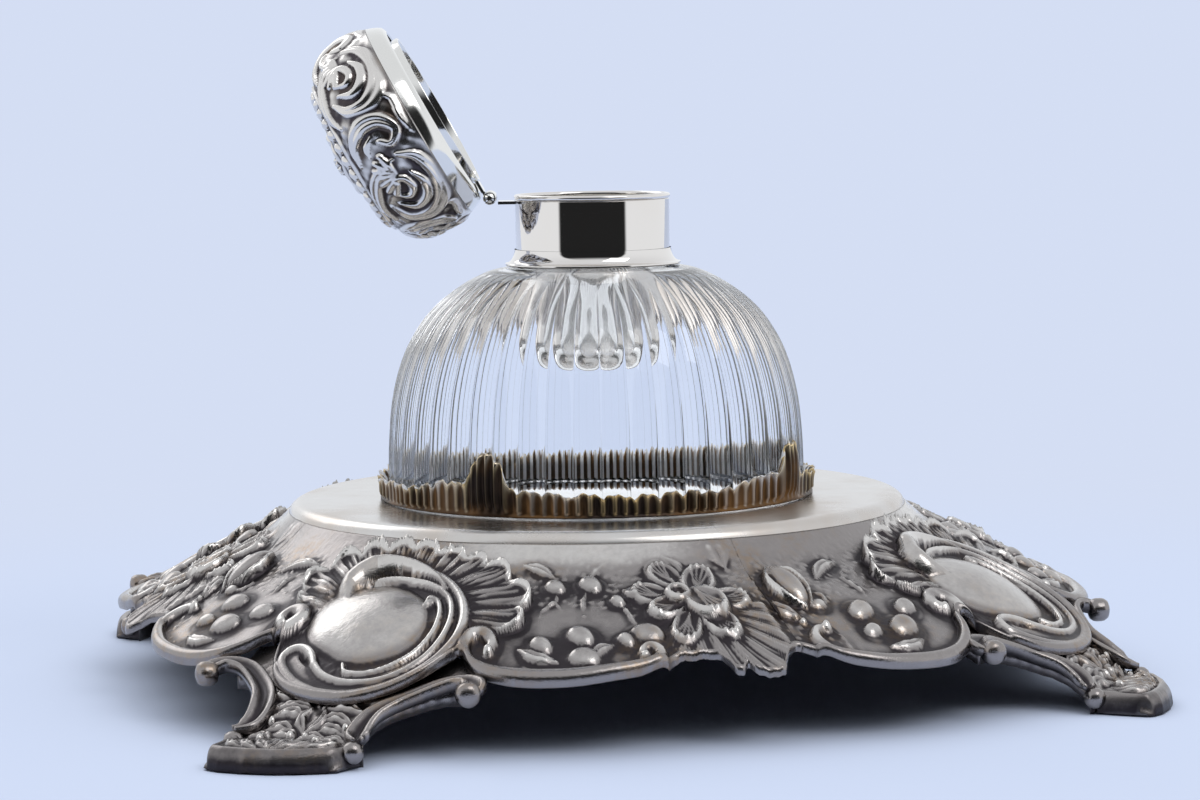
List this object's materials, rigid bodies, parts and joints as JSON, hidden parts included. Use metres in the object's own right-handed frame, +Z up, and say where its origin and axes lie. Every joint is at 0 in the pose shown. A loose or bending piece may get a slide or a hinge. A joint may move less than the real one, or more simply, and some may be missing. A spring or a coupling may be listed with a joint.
{
  "type": "inkstand",
  "caption": "Footed rocaille silver stand with a domed cut glass ink well in a gallery, closed by a hinged embossed lid.",
  "frame": {"origin": "on the table under the stand's centre", "axes": "+Z up; the stand's four sides face the X and Y axes and its feet stand at the corners between them"},
  "size_m": [0.1948, 0.1948, 0.1298],
  "materials": {
    "oxidised_silver": "satin",
    "satin_silver": "satin",
    "bright_silver": "polished",
    "parcel_gilt_silver": "satin",
    "cut_crystal": "polished",
    "plaster": "matte"
  },
  "bodies": {
    "stand": {"platform": "satin_silver", "gallery": "parcel_gilt_silver", "border_front_right": "oxidised_silver", "border_back_right": "oxidised_silver", "border_back_left": "oxidised_silver", "border_front_left": "oxidised_silver", "foot_front_right": "oxidised_silver", "foot_back_right": "oxidised_silver", "foot_back_left": "oxidised_silver", "foot_front_left": "oxidised_silver"},
    "well": {"glass_well": "cut_crystal", "collar_cement": "plaster", "collar_tube": "bright_silver", "collar_foot": "bright_silver", "collar_lip": "bright_silver", "hinge_bracket": "bright_silver", "hinge_knuckle_front": "bright_silver", "hinge_knuckle_back": "bright_silver", "hinge_pin": "satin_silver"},
    "lid": {"lid_shell": "bright_silver", "lid_band": "bright_silver", "lid_liner": "satin_silver", "lid_hinge_tab": "bright_silver"}
  },
  "joints": [
    {"name": "well_lift", "type": "slide", "parent": "stand", "child": "well", "axis": [0, 0, 1], "range_m": [0, 0.04]},
    {"name": "lid_hinge", "type": "hinge", "parent": "well", "child": "lid", "pos_m": [-0.01966, 0.00582, 0.0954], "axis": [0.284, 0.9588, 0], "range_deg": [0, 119.3]}
  ]
}
